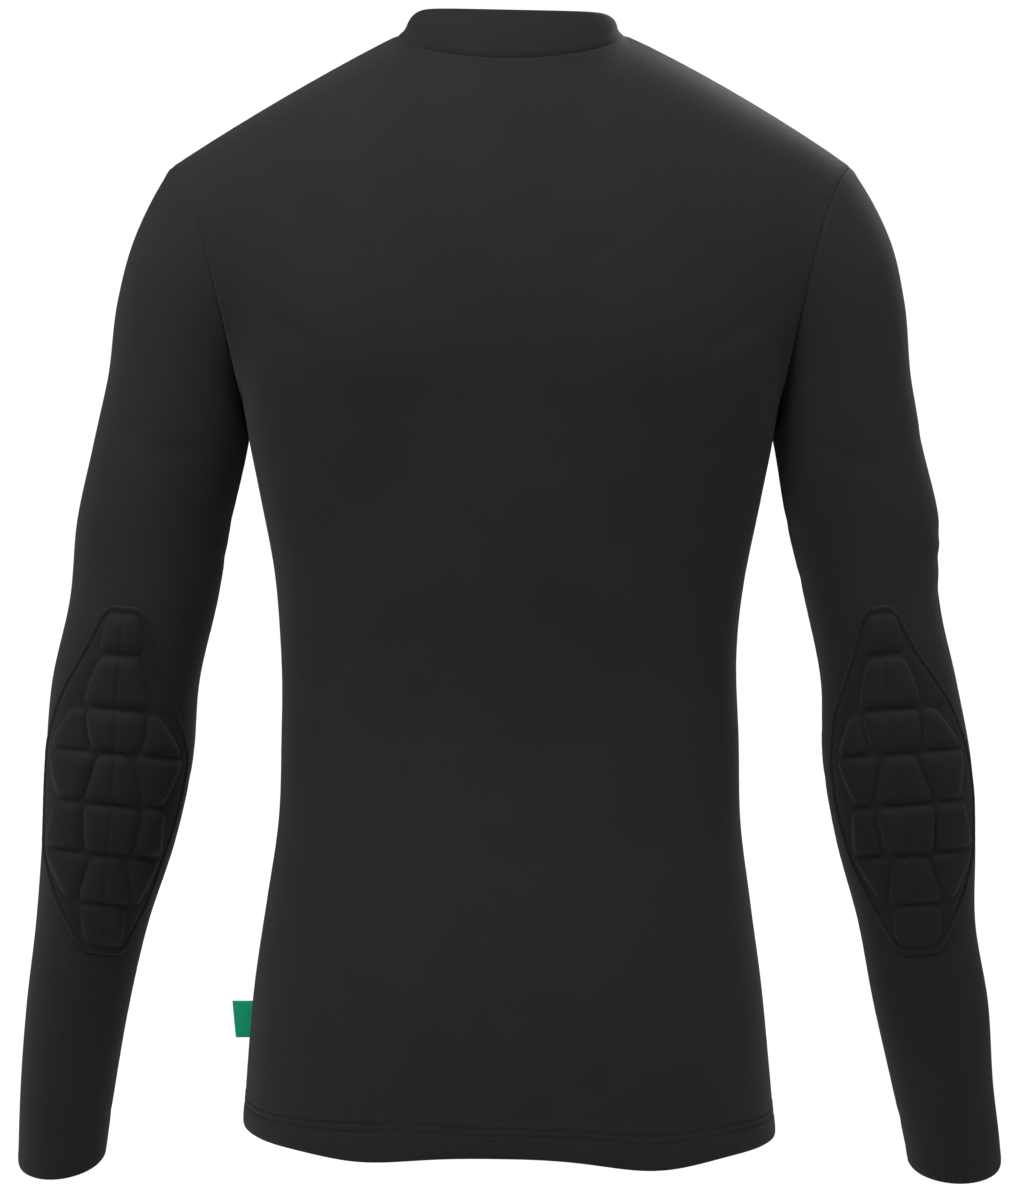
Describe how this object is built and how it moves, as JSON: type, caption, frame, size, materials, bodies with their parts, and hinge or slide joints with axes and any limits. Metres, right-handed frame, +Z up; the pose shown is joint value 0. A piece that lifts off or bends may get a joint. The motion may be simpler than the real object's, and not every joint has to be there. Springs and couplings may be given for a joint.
{
  "type": "long sleeve base layer shirt",
  "caption": "Close-fitting long sleeve base layer shirt, filled out as if worn, with a low stand-up collar, turned hem and padded elbows, open at neck, hem and both cuffs.",
  "frame": {"origin": "in the neck opening on the middle line, level with the inner ends of the shoulder seams, where a wearer's neck and shoulders hold the shirt up", "axes": "+X towards the wearer's left sleeve, +Y towards the back of the shirt, +Z up from the hem to the collar"},
  "size_m": [0.6413, 0.2407, 0.7531],
  "materials": {
    "cloth": "fine smooth black stretch knit, matte with a soft sheen",
    "pad_cloth": "black stretch knit over raised foam cells, matte",
    "label_cloth": "green woven tape, folded, satin"
  },
  "bodies": {
    "root": {"back": "cloth", "front": "cloth", "sleeve_left": "cloth", "sleeve_right": "cloth", "collar": "cloth", "elbow_pad_left": "pad_cloth", "elbow_pad_right": "pad_cloth", "side_label": "label_cloth"}
  },
  "joints": []
}
